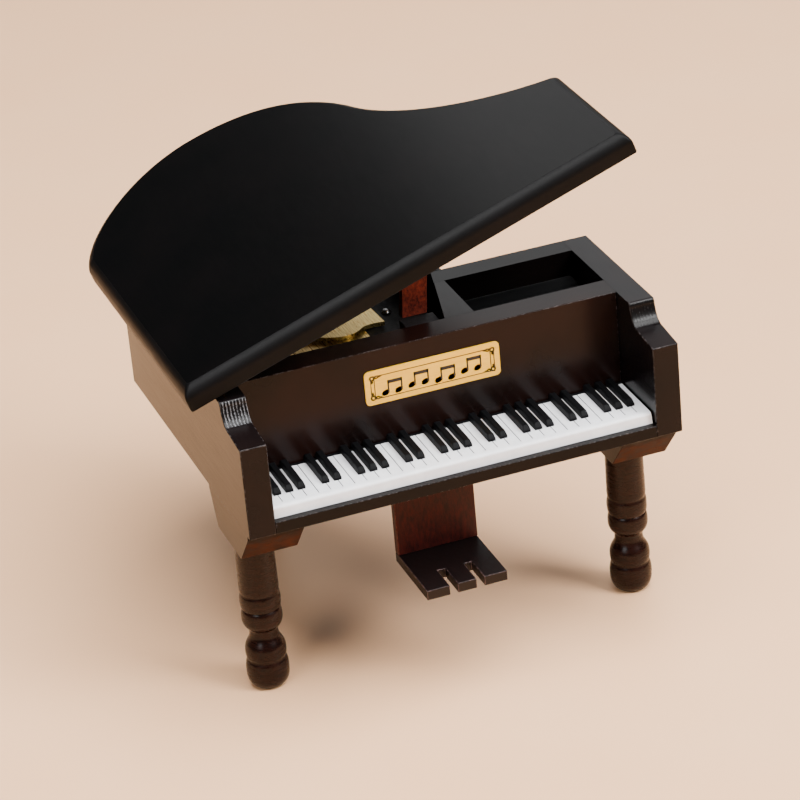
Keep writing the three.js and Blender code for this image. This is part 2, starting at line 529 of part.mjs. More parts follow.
/** A hinge leaf about the Y axis: a flat strip above the axis with its share of the knuckles. */
function hingeLeaf(width, reach, bottom, middle) {
  const third = width / 3;
  const parts = middle ? [[-0.5, 0.5]] : [[-1.5, -0.5], [0.5, 1.5]];
  const strip = box(LEAF_PLANE, reach, -width / 2, width / 2, bottom, bottom + LEAF);
  const knuckles = parts.flatMap(([a, b]) => {
    const [y0, y1] = [a * third + GAP, b * third - GAP];
    return [rodY(KNUCKLE, y0, y1, 12), box(0, LEAF_PLANE + 1, y0, y1, bottom, bottom + LEAF)];
  });
  return cut(join(strip, ...knuckles), rodY(PIN + GAP, -width, width, 8));
}
const fixedLeaf = (width, reach) => hingeLeaf(width, reach, 0.2 + GAP / 2, false);
const movingLeaf = (width, reach) => hingeLeaf(width, reach, LEAF_PLANE - LEAF - GAP / 2, true);
for (const end of ["front", "rear"]) {
  const y = LID_HINGES[end];
  const { width, reach } = LID_HINGES;
  piece(piano, `lid_hinge_${end}_case_leaf`, fixedLeaf(width, reach), brass)
    .position.set(HINGE_X, y, HINGE_Z);
  piece(piano, `lid_hinge_${end}_pin`, rodY(PIN, -width / 2, width / 2, 8), steel)
    .position.set(HINGE_X, y, HINGE_Z);
  piece(lid, `lid_hinge_${end}_lid_leaf`, movingLeaf(width, reach), brass).position.set(0, y, 0);
}

// ---------- prop, hung from the lid by its own small hinge ----------
const sin = Math.sin(LID.open * DEG);
const cos = Math.cos(LID.open * DEG);
/** Height of the open lid's underside, less a drop square to it, at a given x. */
const underLidAt = (x, drop) => HINGE_Z + ((x - HINGE_X) * sin + LEAF_PLANE - drop) / cos;
const propTop = (x) => underLidAt(x, 2 * LEAF_PLANE);
const leanAt = (z) => Math.tan(PROP.lean * DEG) * (z - PROP.foot);
const propCorner = (side) => {
  const x = PROP.left + side * PROP.width;
  const top = propTop(x + leanAt(propTop(x)));
  return [x + leanAt(top), top];
};
const cutHeight = propCorner(1)[1] - PROP_TOP.chamfer;
const propShape = polygon([[PROP.left, PROP.foot], [PROP.left + PROP.width, PROP.foot],
  [PROP.left + PROP.width + leanAt(cutHeight), cutHeight], propCorner(PROP_TOP.width), propCorner(0)]);
piece(piano, "prop", prismY(propShape, PROP.front, PROP.front + PROP.thickness), propStain);

const hingeMiddle = propCorner(PROP_TOP.width / 2)[0];
const propHinge = new THREE.Group();
propHinge.position.set((hingeMiddle - HINGE_X - LEAF_PLANE * sin) / cos,
  PROP.front + PROP.thickness - 0.2, 0);
propHinge.rotation.z = Math.PI / 2;
lid.add(propHinge);
piece(propHinge, "prop_hinge_lid_leaf", movingLeaf(PROP_HINGE.width, PROP_HINGE.reach), brass);
piece(propHinge, "prop_hinge_pin", rodY(PIN, -PROP_HINGE.width / 2, PROP_HINGE.width / 2, 8), steel);
piece(propHinge, "prop_hinge_prop_leaf", fixedLeaf(PROP_HINGE.width, PROP_HINGE.reach), brass)
  .rotation.y = Math.PI / 2;

// ---------- origin: on the floor, at the middle of the outline ----------
piano.updateMatrixWorld(true);
const outline = new THREE.Box3().setFromObject(piano, true);
const middle = outline.getCenter(new THREE.Vector3());
piano.position.set(-middle.x, -middle.y, -outline.min.z);

export default piano;
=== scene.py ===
# %% [markdown]
# # A miniature grand piano with a music movement
# The real thing is a wooden ornament, about as long as a hand: lacquered boards glued into a
# piano's outline, a moulded keyboard, a velvet ring tray and a wind-up movement under a lid.
# This lesson rebuilds its looks, piece by piece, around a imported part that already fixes
# every size, place and hinge. We only swap plain solids for finer ones that fill the same
# room, and give every surface a finish of its own.

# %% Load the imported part
import json
import math

import bmesh
import bpy
from mathutils import Matrix, Vector
from mathutils.geometry import interpolate_bezier


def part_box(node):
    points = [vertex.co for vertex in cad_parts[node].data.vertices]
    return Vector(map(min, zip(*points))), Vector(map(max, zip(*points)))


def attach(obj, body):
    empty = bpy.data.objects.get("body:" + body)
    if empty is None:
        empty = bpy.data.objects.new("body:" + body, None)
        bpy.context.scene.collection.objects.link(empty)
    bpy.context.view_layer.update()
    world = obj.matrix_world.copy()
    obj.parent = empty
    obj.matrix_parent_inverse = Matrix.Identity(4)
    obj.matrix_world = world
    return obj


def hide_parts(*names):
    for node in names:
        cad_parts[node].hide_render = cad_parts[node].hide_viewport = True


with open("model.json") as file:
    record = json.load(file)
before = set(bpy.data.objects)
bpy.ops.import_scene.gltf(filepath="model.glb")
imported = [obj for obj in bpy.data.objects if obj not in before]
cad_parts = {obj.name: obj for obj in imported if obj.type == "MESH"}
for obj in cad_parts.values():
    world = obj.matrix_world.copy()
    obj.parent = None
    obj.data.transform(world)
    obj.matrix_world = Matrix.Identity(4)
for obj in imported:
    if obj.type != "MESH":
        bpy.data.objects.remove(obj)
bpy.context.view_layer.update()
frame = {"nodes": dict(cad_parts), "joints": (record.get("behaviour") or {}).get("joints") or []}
scene = bpy.context.scene

# %% [markdown]
# ## One drawing frame
# A piano maker measures from the keyboard side of the arms and from the middle of the case.
# We could type row coordinates, but they'd hide that logic. So every piece below is drawn in
# millimetres in the maker's frame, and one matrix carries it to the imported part's frame.

# %% The maker's frame
MM = 0.001
left_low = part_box("left_side")[0]
right_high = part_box("right_side")[1]
MIDDLE_X = (left_low.x + right_high.x) / 2
ARM_FRONT = left_low.y
TO_ROW = Matrix.Translation((MIDDLE_X, ARM_FRONT, 0)) @ Matrix.Scale(MM, 4)
TO_MAKER = TO_ROW.inverted()
X_FROM_DRAWING = Matrix(((0, 0, 1, 0), (1, 0, 0, 0), (0, 1, 0, 0), (0, 0, 0, 1)))
Y_FROM_DRAWING = Matrix(((1, 0, 0, 0), (0, 0, 1, 0), (0, 1, 0, 0), (0, 0, 0, 1)))
Z_FROM_DRAWING = Matrix.Identity(4)


def maker_box(name):
    """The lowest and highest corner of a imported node, in the maker's millimetres."""
    return [TO_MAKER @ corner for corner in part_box(name)]


CASE_TOP = maker_box("left_side")[1].z
CASE_BOTTOM = maker_box("left_side")[0].z
HALF_WIDTH = maker_box("right_side")[1].x
print(f"case {2 * HALF_WIDTH:.1f} mm wide, from {CASE_BOTTOM:.1f} to {CASE_TOP:.1f} mm high")

# %% [markdown]
# ## Modelling helpers
# Nearly all of this object is sawn board, so most pieces start as a flat outline that is
# pushed out to a thickness. A sawn and lacquered edge is never a perfect corner: the lacquer
# pools and wears there. The bevel below gives each edge a small round, and it marks the new
# faces, so that a finish can wear through on exactly those faces; on the black lacquer that
# paler edge is also a painted highlight along the edge.

# %% Slabs, rounded edges and finished pieces
def curve(start, handle_1, handle_2, end, steps=16):
    """Points on one Bezier span in the drawing plane, without its first point."""
    spans = [Vector((*p, 0)) for p in (start, handle_1, handle_2, end)]
    return [(p.x, p.y) for p in interpolate_bezier(*spans, steps + 1)][1:]


def slab(outline, plane, low, high):
    """An outline drawn in a plane, pushed out from low to high across that plane."""
    bm = bmesh.new()
    corners = [bm.verts.new(plane @ Vector((u, v, low))) for u, v in outline]
    bottom = bm.faces.new(corners)
    pushed = bmesh.ops.extrude_face_region(bm, geom=[bottom])
    moved = [g for g in pushed["geom"] if isinstance(g, bmesh.types.BMVert)]
    bmesh.ops.translate(bm, verts=moved, vec=plane.to_3x3() @ Vector((0, 0, high - low)))
    bmesh.ops.recalc_face_normals(bm, faces=bm.faces)
    return bm


def block(low, high):
    """A box from its lowest to its highest corner."""
    bm = bmesh.new()
    low, high = Vector(low), Vector(high)
    size = high - low
    place = Matrix.Translation((low + high) / 2) @ Matrix.Diagonal((*size, 1))
    bmesh.ops.create_cube(bm, size=1, matrix=place)
    return bm


def sharp_edges(bm, angle=30):
    """The edges where two faces meet at more than an angle in degrees."""
    return [e for e in bm.edges
            if len(e.link_faces) == 2 and e.calc_face_angle() > math.radians(angle)]


def round_edges(bm, radius, segments=3, edges=None):
    """Rounds edges and marks the rounds in the face attribute "worn"."""
    worn = bm.faces.layers.float.get("worn") or bm.faces.layers.float.new("worn")
    rounds = bmesh.ops.bevel(
        bm, geom=sharp_edges(bm) if edges is None else edges, offset=radius,
        offset_type="OFFSET", segments=segments, profile=0.5, affect="EDGES",
        clamp_overlap=True, material=-1)
    for face in rounds["faces"]:
        face[worn] = 1.0
    return bm


def packed_copy(name):
    """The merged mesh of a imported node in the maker's frame, for further modelling."""
    bm = bmesh.new()
    bm.from_mesh(frame["nodes"][name].data)
    bmesh.ops.transform(bm, matrix=TO_MAKER, verts=bm.verts)
    bmesh.ops.remove_doubles(bm, verts=bm.verts, dist=0.002)
    bmesh.ops.dissolve_limit(bm, angle_limit=math.radians(1), verts=bm.verts, edges=bm.edges)
    return bm


def joined(parts):
    """Several closed forms kept together as one mesh."""
    whole = bmesh.new()
    for part in parts:
        spare = bpy.data.meshes.new("spare")
        part.to_mesh(spare)
        part.free()
        whole.from_mesh(spare)
        bpy.data.meshes.remove(spare)
    return whole


def finished(name, bm, materials, body="case", crease=40):
    """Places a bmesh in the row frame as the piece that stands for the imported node."""
    bmesh.ops.transform(bm, matrix=TO_ROW, verts=bm.verts)
    mesh = bpy.data.meshes.new(name)
    bm.to_mesh(mesh)
    bm.free()
    mesh.shade_smooth()
    mesh.set_sharp_from_angle(angle=math.radians(crease))
    piece = bpy.data.objects.new("fine_" + name, mesh)
    scene.collection.objects.link(piece)
    for material in materials:
        mesh.materials.append(material)
    piece.modifiers.new("broad faces stay flat", "WEIGHTED_NORMAL").keep_sharp = True
    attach(piece, body)
    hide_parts(name)
    print(f"{piece.name}: {len(mesh.polygons)} faces, {materials[0].name}")
    return piece


# %% [markdown]
# ## Finish helpers
# A finish is built from nodes: a pattern on the Object coordinates, with its scale worked out
# from a real size, drives colour, roughness and a little bump. Colours are written as on a
# paint chart, in sRGB, and one function turns them linear for the renderer.

# %% Node helpers
def linear(hex_colour):
    """A linear RGBA colour from an sRGB hex value."""
    channels = [int(hex_colour[i:i + 2], 16) / 255 for i in (1, 3, 5)]
    return [c / 12.92 if c <= 0.04045 else ((c + 0.055) / 1.055) ** 2.4 for c in channels] + [1]


def add(tree, kind, sockets=None, **settings):
    """Adds a node, gives it its settings, then sets or links each of its sockets."""
    made = tree.nodes.new(kind)
    for key, value in settings.items():
        setattr(made, key, value)
    for key, value in (sockets or {}).items():
        if isinstance(value, bpy.types.NodeSocket):
            tree.links.new(value, made.inputs[key])
        else:
            made.inputs[key].default_value = value
    return made


def new_finish(name, slot, **sockets):
    """A material named for its real one, with its shader's plain values set."""
    made = bpy.data.materials.new(name)
    made.use_nodes = True
    shader = made.node_tree.nodes["Principled BSDF"]
    for key, value in sockets.items():
        shader.inputs[key.replace("_", " ")].default_value = value
    return made, made.node_tree, shader


def grain_size(size_mm):
    """The noise scale, per metre, whose features are about this size."""
    return 1 / (size_mm * MM)


def object_place(tree, stretch=(1, 1, 1)):
    """Object coordinates, stretched so that a pattern runs along an axis."""
    where = add(tree, "ShaderNodeTexCoord").outputs["Object"]
    return add(tree, "ShaderNodeMapping", {"Vector": where, "Scale": stretch}).outputs[0]


def noise(tree, size_mm, stretch=(1, 1, 1), detail=3.0, rough=0.5):
    """The value of a noise with features of a real size."""
    return add(tree, "ShaderNodeTexNoise", {
        "Vector": object_place(tree, stretch), "Scale": grain_size(size_mm),
        "Detail": detail, "Roughness": rough}).outputs["Fac"]


def ranged(tree, value, low, high, to_low, to_high):
    """A value's range carried to another range, and held inside it."""
    return add(tree, "ShaderNodeMapRange", {
        "Value": value, "From Min": low, "From Max": high,
        "To Min": to_low, "To Max": to_high}).outputs[0]


def times(tree, a, b):
    return add(tree, "ShaderNodeMath", {0: a, 1: b}, operation="MULTIPLY").outputs[0]


COLOUR_A, COLOUR_B, COLOUR_OUT = 6, 7, 2  # the colour sockets of a Mix node


def blended(tree, factor, a, b):
    """A colour between two colours."""
    return add(tree, "ShaderNodeMix", {0: factor, COLOUR_A: a, COLOUR_B: b},
               data_type="RGBA").outputs[COLOUR_OUT]


def bumped(tree, shader, height, depth_mm, strength=1.0):
    """Feeds a height of a real depth to the shader's normal."""
    bump = add(tree, "ShaderNodeBump", {
        "Height": height, "Distance": depth_mm * MM, "Strength": strength})
    tree.links.new(bump.outputs["Normal"], shader.inputs["Normal"])


# %% [markdown]
# ## Lacquered case
# The case is MDF board sprayed with black polyurethane lacquer and rubbed down by hand. To
# the eye that's a warm near-black with a blurred gloss, fine rubbing lines along the board,
# and a browner, duller line on the edges, partly where the coat is thin and partly a painted
# highlight along the edge. An image of scratches would do it too, but noise stretched along
# one axis gives the same lines at any zoom.

# %% Polyurethane lacquer on MDF
def lacquered(name, slot, deep, warm, edge, dull, rub=(1, 0.04, 1), gloss=(0.2, 0.26), shine=0.14):
    """Sprayed lacquer: two near-blacks, a paler edge where it's worn and as a painted highlight,
    and rubbing lines.
    """
    made, tree, shader = new_finish(name, slot, IOR=1.46, Specular_IOR_Level=shine)
    cloud = noise(tree, 26)
    lines = noise(tree, 0.45, rub, detail=2)
    ripple = noise(tree, 3.2, detail=1)
    patch = noise(tree, 1.3, detail=4, rough=0.7)
    worn = add(tree, "ShaderNodeAttribute", attribute_name="worn").outputs["Fac"]
    # painted highlight: the paler edge colour on the rounded faces is partly worn lacquer, partly a
    # painted glint
    thin_coat_and_glint = times(tree, worn, ranged(tree, patch, 0.48, 0.68, 0, 1))
    body = blended(tree, ranged(tree, cloud, 0.35, 0.65, 0, 1), linear(deep), linear(warm))
    tree.links.new(blended(tree, thin_coat_and_glint, body, linear(edge)), shader.inputs["Base Color"])
    low, high = gloss
    sheen = ranged(tree, lines, 0.3, 0.7, low, high)
    tree.links.new(add(tree, "ShaderNodeMath", {0: sheen, 1: times(tree, thin_coat_and_glint, dull)},
                       operation="ADD").outputs[0], shader.inputs["Roughness"])
    fine = add(tree, "ShaderNodeMath", {0: times(tree, lines, 0.08), 1: ripple}, operation="ADD")
    bumped(tree, shader, fine.outputs[0], 0.012, 0.5)
    return made


# the edge colour #454040 below is partly worn lacquer, partly a painted highlight along the edges
case_lacquer = lacquered("polyurethane lacquer on MDF", "black_lacquer",
                         "#0b0809", "#130b0a", "#454040", 0.16)
cross_lacquer = lacquered("polyurethane lacquer rubbed crosswise", "black_lacquer",
                          "#090707", "#0e0908", "#454040", 0.16, rub=(0.04, 1, 1), shine=0.12)
fall_lacquer = lacquered("polyurethane lacquer, brown-black, on the fallboard", "black_lacquer",
                         "#0f0807", "#1b0d0a", "#454040", 0.16, rub=(0.04, 1, 1))
lid_lacquer = lacquered("polished lacquer on MDF lid", "lid_lacquer",
                        "#020202", "#040303", "#18171a", 0.3, gloss=(0.2, 0.24))
lid_edge_lacquer = lacquered("lacquer soaked into the MDF lid's edge", "lid_lacquer",
                             "#060606", "#0a090a", "#18171a", 0.1, gloss=(0.38, 0.5), shine=0.1)

# %% [markdown]
# The curved steps of the arms are shaped on a spindle moulder. The cutter leaves combed ridges
# down the left step and only a fine brushing on the right one. Both are partly rubbed bare, and
# the light that lacquer catches on them is painted in as a paler colour, a painted highlight.
# Modelled ridges would need hundreds of faces a step; a wave pattern with a little
# noise in its phase wanders just as a cutter does.

# %% Combed, moulded lacquer
RIDGE = 1.1  # mm from one cutter mark to the next


def combed_finish(name, bare_and_glint_from, bare_and_glint_to, pale, ridge_mm):
    """Lacquer over the ridges that a cutter leaves, paler where rubbed bare and as a painted
    highlight.
    """
    made, tree, shader = new_finish(name, "black_lacquer", IOR=1.46, Specular_IOR_Level=0.22)
    wander = times(tree, noise(tree, 2.5, detail=2), 1.6)
    comb = add(tree, "ShaderNodeTexWave", {
        "Vector": object_place(tree), "Scale": grain_size(RIDGE) * 2 * math.pi / 20,
        "Phase Offset": wander, "Distortion": 1.2, "Detail": 2.0, "Detail Scale": 1.5},
        wave_type="BANDS", bands_direction="X").outputs["Fac"]
    flecks = noise(tree, 0.8, detail=5, rough=0.8)
    mixed = add(tree, "ShaderNodeMath", {0: times(tree, comb, 0.3), 1: flecks}, operation="ADD")
    # painted highlight: the paler colour marks ridges and flecks that are partly rubbed bare,
    # partly lit
    rubbed = ranged(tree, mixed.outputs[0], bare_and_glint_from, bare_and_glint_to, 0, 1)
    tree.links.new(blended(tree, rubbed, linear("#0d0b0b"), linear(pale)),
                   shader.inputs["Base Color"])
    tree.links.new(ranged(tree, rubbed, 0, 1, 0.26, 0.5), shader.inputs["Roughness"])
    bumped(tree, shader, comb, ridge_mm, 0.7)
    return made


# the pale greys below are partly bare lacquer, partly a painted highlight on the steps
combed_lacquer = combed_finish("lacquer over deep cutter marks", 0.7, 0.84, "#6c6c6f", 0.06)
brushed_lacquer = combed_finish("lacquer over fine cutter marks", 0.84, 1.0, "#3d3c3e", 0.01)

# %% [markdown]
# ## Stained wood
# Legs, pedals and prop are solid wood or board with a coloured stain. The legs are turned,
# so faint rings run round them, with a satin varnish over a very dark brown. The pedals
# are a redder brown, and the prop is a speckled red-brown with no gloss at all.

# %% Stains
def stained(name, slot, dark, light, edge, rings, fleck_mm, gloss, ridge_mm=0.03, shine=0.22):
    """A stain that is darker and lighter along the grain, with a paler, worn edge."""
    made, tree, shader = new_finish(name, slot, IOR=1.48, Specular_IOR_Level=shine)
    grain = noise(tree, fleck_mm, rings, detail=5, rough=0.65)
    worn = add(tree, "ShaderNodeAttribute", attribute_name="worn").outputs["Fac"]
    patch = times(tree, worn, ranged(tree, noise(tree, 1.1, detail=4), 0.4, 0.62, 0, 1))
    wood = blended(tree, ranged(tree, grain, 0.34, 0.68, 0, 1), linear(dark), linear(light))
    tree.links.new(blended(tree, patch, wood, linear(edge)), shader.inputs["Base Color"])
    low, high = gloss
    tree.links.new(ranged(tree, grain, 0.3, 0.7, low, high), shader.inputs["Roughness"])
    bumped(tree, shader, grain, ridge_mm, 0.6)
    return made


leg_stain = stained("satin varnish on turned beech", "leg_stain",
                    "#0f0504", "#200d08", "#2c1a12", (0.25, 0.25, 1), 1.2, (0.22, 0.32),
                    ridge_mm=0.008, shine=0.17)
pedal_stain = stained("red-brown stain on plywood", "pedal_stain",
                      "#1c0605", "#43120e", "#5a2a24", (1, 1, 0.3), 0.9, (0.4, 0.62))
tread_stain = stained("black-brown stain on plywood", "pedal_stain",
                      "#0c0707", "#150b0a", "#4a3836", (1, 0.3, 1), 0.9, (0.34, 0.5), 0.015)
prop_stain = stained("speckled stain on softwood", "prop_stain",
                     "#2e0c08", "#8c3422", "#6c3426", (1, 1, 0.7), 0.9, (0.5, 0.7), 0.06)

# %% [markdown]
# The leg blocks are sawn across the grain from a brown composite and left raw, apart from
# black overspray from the case. Its cut face shows dark pores about half a millimetre wide.

# %% Raw composite with black overspray
def raw_block():
    """Sawn brown composite: pores, a cloudy brown and overspray near the case."""
    made, tree, shader = new_finish("raw sawn wood composite", "brown_wood", IOR=1.45,
                                    Specular_IOR_Level=0.12)
    cloud = noise(tree, 4, detail=4, rough=0.6)
    pores = add(tree, "ShaderNodeTexVoronoi", {
        "Vector": object_place(tree, (1, 0.6, 1)), "Scale": grain_size(1.5)}).outputs["Distance"]
    pore = times(tree, ranged(tree, pores, 0.1, 0.24, 1, 0),
                 ranged(tree, noise(tree, 2.4), 0.46, 0.56, 0, 1))
    height = add(tree, "ShaderNodeSeparateXYZ", {0: object_place(tree)}).outputs["Z"]
    near_case = ranged(tree, height, (CASE_BOTTOM - 8) * MM, (CASE_BOTTOM - 1) * MM, -0.25, 0.4)
    spray = add(tree, "ShaderNodeMath", {0: near_case, 1: noise(tree, 1.6, (1, 0.5, 1), 5, 0.7)},
                operation="ADD").outputs[0]
    brown = blended(tree, ranged(tree, cloud, 0.35, 0.65, 0, 1),
                    linear("#1a0c07"), linear("#3d2014"))
    pitted = blended(tree, pore, brown, linear("#0e0806"))
    covered = ranged(tree, spray, 0.5, 0.68, 0, 0.92)
    tree.links.new(blended(tree, covered, pitted, linear("#17110f")), shader.inputs["Base Color"])
    tree.links.new(ranged(tree, cloud, 0.3, 0.7, 0.6, 0.85), shader.inputs["Roughness"])
    surface = add(tree, "ShaderNodeMath", {0: cloud, 1: pore}, operation="SUBTRACT").outputs[0]
    bumped(tree, shader, surface, 0.12, 0.6)
    return made


block_wood = raw_block()

# %% [markdown]
# ## Moulded plastic, velvet, sheet metal
# The keys are injection moulded ABS: smooth, faintly clouded white and a satin black with a
# very fine moulded texture. The ring cushion is flocked velvet, which looks black face on
# and grey at a glancing angle. The plate under the lid is gold metallised board, brushed one
# way; the movement is bright brass, plain steel and die-cast zinc.

# %% ABS, velvet, metals
def plain_pattern(name, slot, dark, light, size_mm, gloss, depth_mm,
                  stretch=(1, 1, 1), pole=(0.35, 0.65), **sockets):
    """A finish of two close colours in one noise that also sets gloss and bump."""
    made, tree, shader = new_finish(name, slot, **sockets)
    pattern = noise(tree, size_mm, stretch, detail=4, rough=0.6)
    tree.links.new(blended(tree, ranged(tree, pattern, *pole, 0, 1), linear(dark), linear(light)),
                   shader.inputs["Base Color"])
    tree.links.new(ranged(tree, pattern, 0.3, 0.7, *gloss), shader.inputs["Roughness"])
    bumped(tree, shader, pattern, depth_mm, 0.6)
    return made


white_abs = plain_pattern("white moulded ABS", "white_plastic", "#e6e5e8", "#f2f2f4",
                          6, (0.28, 0.4), 0.01, IOR=1.53)
# painted shade: a greyer white for the groove faces, in place of the shade inside the grooves
groove_shade_abs = plain_pattern("white moulded ABS with painted shade in the grooves", "white_plastic",
                          "#8b898e", "#a19fa4", 3, (0.5, 0.7), 0.01)
black_abs = plain_pattern("black moulded ABS", "black_plastic", "#060607", "#0c0c0e",
                          0.4, (0.45, 0.6), 0.012, IOR=1.48, Specular_IOR_Level=0.1)
velvet = plain_pattern("flocked black velvet", "black_velvet", "#010101", "#050506",
                       0.35, (0.8, 1.0), 0.12, IOR=1.4,
                       Sheen_Weight=0.03, Sheen_Roughness=0.35, Specular_IOR_Level=0.2)
gold_foil = plain_pattern("brushed gold metallised board", "gold_sheet", "#9a7a34", "#e8cf8a",
                          0.6, (0.22, 0.46), 0.03, stretch=(1, 0.08, 1), Metallic=1.0)
plate_gold = plain_pattern("satin gold anodised aluminium", "plaque_gold", "#f2b92c", "#f8c43c",
                           0.5, (0.4, 0.48), 0.002, stretch=(0.06, 1, 1), Metallic=0.12)
plate_ink = plain_pattern("dark brown screen-printed ink", "plaque_gold", "#0e0906", "#1c120c",
                          0.4, (0.45, 0.6), 0.01)
matt_black = plain_pattern("matt black paint on plywood", "black_board", "#0a090a", "#171517",
                           1.2, (0.55, 0.8), 0.03)
bright_brass = plain_pattern("bright brass", "brass", "#a97f33", "#d3ab58",
                             2.2, (0.2, 0.38), 0.01, Metallic=1.0)
plain_steel = plain_pattern("bright steel", "steel", "#8e8f90", "#c4c4c3",
                            1.4, (0.22, 0.38), 0.008, stretch=(0.3, 1, 1), Metallic=1.0)
cast_zinc = plain_pattern("die-cast zinc alloy", "zinc_alloy", "#83837c", "#aaa9a0",
                          0.7, (0.4, 0.58), 0.04, Metallic=0.9)

# %% [markdown]
# ## Case boards
# The side boards are sawn from 9 mm board, with an S-shaped step down to the arms beside the
# keyboard. A side could be a box cut by a boolean, but the outline drawn once and pushed out
# gives clean faces, and its step can then take the combed finish.

# %% Side boards
BOARD = 9.0
EDGE = 0.35
STEP_FRONT, STEP_BACK = 13.4, 18.0  # where the step is steep, from the arm's front


def side_outline(length):
    """The side board seen from the treble side: y, then height."""
    foot, top = CASE_BOTTOM, CASE_TOP
    points = [(0, foot), (length, foot), (length, top), (18.6, top)]
    points += curve((18.6, top), (17.9, top), (17.5, top - 0.5), (17.3, top - 2), 8)
    points += curve((17.3, top - 2), (16.4, 107.4), (15.2, 105.3), (12.4, 104.9), 14)
    return points + [(0, 103.4)]


def side_board(name, low_x, step_finish):
    """A side board with its step as a second material; its inner top edge stays sharp."""
    length = (maker_box(name)[1] - maker_box(name)[0]).y
    board = slab(side_outline(length), X_FROM_DRAWING, low_x, low_x + BOARD)
    inner = HALF_WIDTH - BOARD
    outer_edges = [e for e in sharp_edges(board, 25)
                   if not all(abs(v.co.x) < inner + 0.01 and (v.co.z > CASE_TOP - 0.01
                              or v.co.z < CASE_BOTTOM + 0.01) for v in e.verts)]
    round_edges(board, EDGE, edges=outer_edges)
    for face in board.faces:
        spot = face.calc_center_median()
        if STEP_FRONT < spot.y < STEP_BACK and spot.z > 104.9 and abs(face.normal.x) < 0.3:
            face.material_index = 1
    return finished(name, board, [case_lacquer, step_finish])


side_board("left_side", -HALF_WIDTH, combed_lacquer)
side_board("right_side", HALF_WIDTH - BOARD, brushed_lacquer)

# %% [markdown]
# ## Straight boards
# The boards across the case are straight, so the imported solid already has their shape. A
# merged copy is all that they need, and it keeps every cut-out. Only the edges that show
# outside are rounded: where two boards meet, lacquer fills the joint and no groove shows.

# %% Boards from merged copies
def rounded_copy(name, radius, material, body="case", segments=3, crease=40, only=None):
    """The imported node's own shape with rounded edges, or with only some edges rounded."""
    bm = packed_copy(name)
    edges = [e for e in sharp_edges(bm) if only is None or all(only(v.co) for v in e.verts)]
    return finished(name, round_edges(bm, radius, segments, edges), [material], body, crease)


fallboard_front = maker_box("fallboard")[0].y
rear_back = maker_box("rear_board")[1].y
rounded_copy("fallboard", 0.3, fall_lacquer, only=lambda p: p.y < fallboard_front + 0.01)
rounded_copy("rear_board", 0.3, cross_lacquer, only=lambda p: p.y > rear_back - 0.01)
PARTITION_LIP = 17.9  # only the partition's left part has soft edges
rounded_copy("tray_partition", 0.12, case_lacquer, only=lambda p: p.x < PARTITION_LIP)
rounded_copy("bottom_board", 0.3, cross_lacquer, only=lambda p: p.y < 0.01)
for board_name in ("tray_floor", "deck_board", "prop_rest"):
    rounded_copy(board_name, 0.2, matt_black)

# %% [markdown]
# ## Bent tail rim
# Behind the straight sides the case is a 6 mm strip bent round the tail. An extruded outline
# would need its inner curve worked out as well. Instead we draw only the outer curve, pull
# it up to a wall, and let the solidify operator give the wall its thickness inwards.

# %% Tail rim
RIM = 6.0
TAIL_SPANS = [
    [(22, 74.1), (19, 95), (20, 112), (14.5, 130)],
    [(14.5, 130), (8, 150), (-6, 165), (-28, 165)],
    [(-28, 165), (-50, 165), (-71, 142), (-HALF_WIDTH, 127.1)]]


def tail_rim():
    """The outer curve pulled up to a wall, thickened inwards and trimmed at the sides."""
    bm = bmesh.new()
    path = [TAIL_SPANS[0][0]] + [p for span in TAIL_SPANS for p in curve(*span, steps=20)]
    verts = [bm.verts.new((x, y, CASE_BOTTOM)) for x, y in path]
    edges = [bm.edges.new(pair) for pair in zip(verts, verts[1:])]
    wall = bmesh.ops.extrude_edge_only(bm, edges=edges)
    lifted = [g for g in wall["geom"] if isinstance(g, bmesh.types.BMVert)]
    bmesh.ops.translate(bm, verts=lifted, vec=(0, 0, CASE_TOP - CASE_BOTTOM))
    bmesh.ops.recalc_face_normals(bm, faces=bm.faces)
    outwards = sum((f.normal.dot(f.calc_center_median() - Vector((-28, 90, 90)))
                    for f in bm.faces))
    bmesh.ops.solidify(bm, geom=bm.faces, thickness=RIM if outwards > 0 else -RIM)
    for spot, away in (((0, 74.1, 0), (0, -1, 0)), ((-HALF_WIDTH, 127.1, 0), (0, -1, 0))):
        near = [f for f in bm.faces if (f.calc_center_median().x > -20) == (spot[0] > -20)]
        part = {g for f in near for g in (f, *f.edges, *f.verts)}
        cut = bmesh.ops.bisect_plane(bm, geom=list(part), plane_co=spot, plane_no=away,
                                     clear_outer=True)
        rim_cut = [g for g in cut["geom_cut"] if isinstance(g, bmesh.types.BMEdge)]
        bmesh.ops.holes_fill(bm, edges=rim_cut)
    bmesh.ops.recalc_face_normals(bm, faces=bm.faces)
    return round_edges(bm, 0.35)


finished("tail_rim", tail_rim(), [case_lacquer])

# %% [markdown]
# ## Nameplate
# The real plate is thin gold aluminium with a printed frame round its face. We make it a
# rounded slab, and print a plain ornament on it as raised ink 0.05 mm thick: a frame, corner
# scrolls and a bar of notes, which says music and nothing else.

# %% Plate and its printed ornament
plate_low, plate_high = maker_box("nameplate")
PLATE_CORNER = 1.6
INK = 0.05


def rounded_outline(low, high, corner, steps=6):
    """A rectangle with rounded corners, in the drawing plane."""
    (x0, y0), (x1, y1) = low, high
    outline = []
    for cx, cy, first in ((x1 - corner, y0 + corner, -90), (x1 - corner, y1 - corner, 0),
                          (x0 + corner, y1 - corner, 90), (x0 + corner, y0 + corner, 180)):
        for i in range(steps + 1):
            angle = math.radians(first + 90 * i / steps)
            outline.append((cx + corner * math.cos(angle), cy + corner * math.sin(angle)))
    return outline


def printed(low, high):
    """A flat rectangle of ink on the plate's face, from corner to corner (x, z)."""
    return block((low[0], plate_low.y - INK, low[1]), (high[0], plate_low.y + INK, high[1]))


